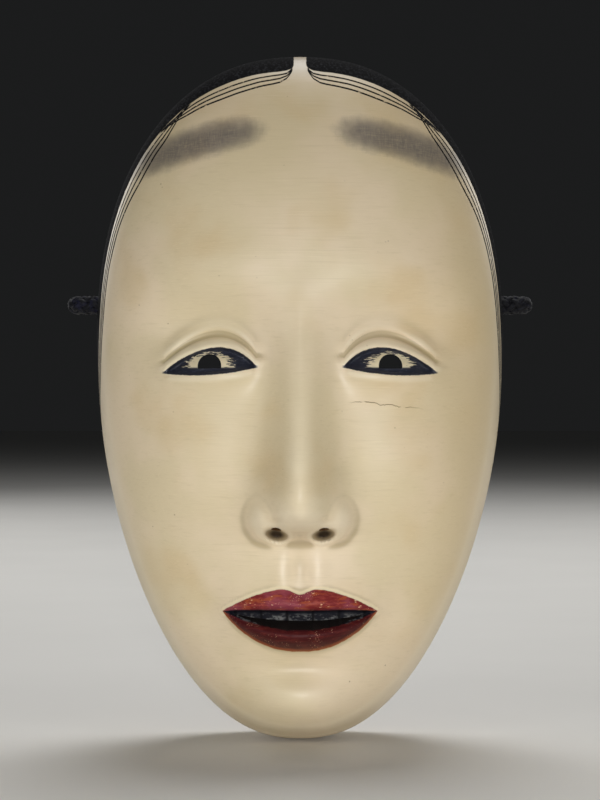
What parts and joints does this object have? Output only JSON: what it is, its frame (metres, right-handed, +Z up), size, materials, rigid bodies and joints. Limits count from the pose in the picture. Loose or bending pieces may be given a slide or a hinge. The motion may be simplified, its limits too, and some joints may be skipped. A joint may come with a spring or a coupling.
{
  "type": "noh mask",
  "caption": "Carved and painted noh mask of a calm young woman, hollow behind with cloth pads inside, and braided cords hitched through side holes and tied in a bow.",
  "frame": {"origin": "middle of the rim's flat band at the chin, on the plane that the rim rests on", "axes": "+Z up the face from chin to crown, -Y the way the face looks, +Y out of the hollow back, +X to the right of someone looking at the face"},
  "size_m": [0.1474, 0.0887, 0.212],
  "materials": {
    "painted_wood": "aged cream shell-white over carved cypress, satin, painted black hair, red lips and black teeth",
    "pad_cloth": "plain undyed cotton",
    "cord_silk": "round braided black silk",
    "thread": "close-wound dark silk thread"
  },
  "bodies": {
    "mask": {"mask_shell": "painted_wood", "forehead_pad": "pad_cloth", "left_cheek_pad": "pad_cloth", "right_cheek_pad": "pad_cloth", "left_cord_hitch": "cord_silk", "right_cord_hitch": "cord_silk", "left_eye_whipping": "thread", "right_eye_whipping": "thread"},
    "tied_cord": {"left_cord_span": "cord_silk", "right_cord_span": "cord_silk"},
    "bow": {"bow_knot": "cord_silk", "left_bow_loop": "cord_silk", "right_bow_loop": "cord_silk"},
    "left_tail": {"left_cord_tail": "cord_silk", "left_tail_whipping": "thread", "left_tassel": "cord_silk"},
    "right_tail": {"right_cord_tail": "cord_silk", "right_tail_whipping": "thread", "right_tassel": "cord_silk"}
  },
  "joints": [
    {"name": "cord_swing", "type": "hinge", "parent": "mask", "child": "tied_cord", "pos_m": [0, 0.0026, 0.13125], "axis": [1, 0, 0], "range_deg": [-165, 8]},
    {"name": "bow_hang", "type": "hinge", "parent": "tied_cord", "child": "bow", "pos_m": [0, 0.006, 0.16425], "axis": [1, 0, 0], "range_deg": [-8, 165]},
    {"name": "left_tail_swing", "type": "hinge", "parent": "bow", "child": "left_tail", "pos_m": [0, 0.006, 0.16425], "axis": [1, 0, 0], "range_deg": [0, 80]},
    {"name": "right_tail_swing", "type": "hinge", "parent": "bow", "child": "right_tail", "pos_m": [0, 0.006, 0.16425], "axis": [1, 0, 0], "range_deg": [0, 80]}
  ],
  "couplings": [
    {"joint": "bow_hang", "follows": "cord_swing", "ratio": -1}
  ]
}
